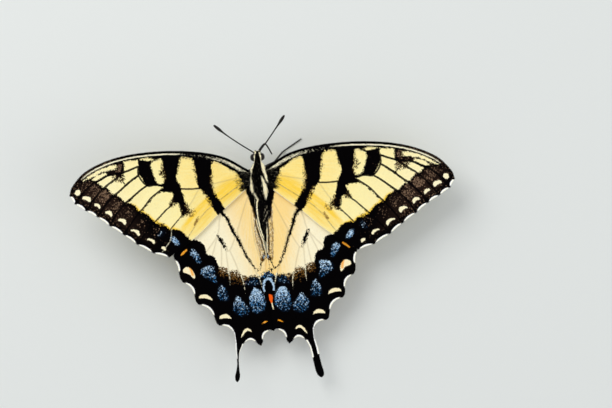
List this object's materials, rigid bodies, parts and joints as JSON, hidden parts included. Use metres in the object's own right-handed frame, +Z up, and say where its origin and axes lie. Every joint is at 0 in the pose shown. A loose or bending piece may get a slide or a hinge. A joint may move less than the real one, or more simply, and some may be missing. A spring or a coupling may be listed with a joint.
{
  "type": "eastern tiger swallowtail butterfly",
  "caption": "Life-size tiger swallowtail butterfly standing on its legs with its wings spread open.",
  "frame": {"origin": "the middle of the bounding box, on the floor that the feet stand on", "axes": "+Z up, +Y towards the head, +X towards the butterfly's right wing"},
  "size_m": [0.1074, 0.074, 0.021],
  "materials": {
    "coat": "matte black hair and scales with cream stripes",
    "wing": "matte powdery scales, pale yellow with black stripes",
    "wing_dark": "matte powdery black scales",
    "horn": "dark satin chitin",
    "eye": "dark glossy compound eye"
  },
  "bodies": {
    "root": {"head": "coat", "eye_left": "eye", "eye_right": "eye", "palp_left": "coat", "palp_right": "coat", "proboscis": "horn", "antenna_left": "horn", "antenna_right": "horn", "thorax": "coat", "abdomen": "coat", "forewing_left": "wing", "forewing_right": "wing", "hindwing_left": "wing", "hindwing_right": "wing", "tail_left": "wing_dark", "tail_right": "wing_dark", "leg_front_left": "horn", "leg_front_right": "horn", "leg_middle_left": "horn", "leg_middle_right": "horn", "leg_hind_left": "horn", "leg_hind_right": "horn"}
  },
  "joints": []
}
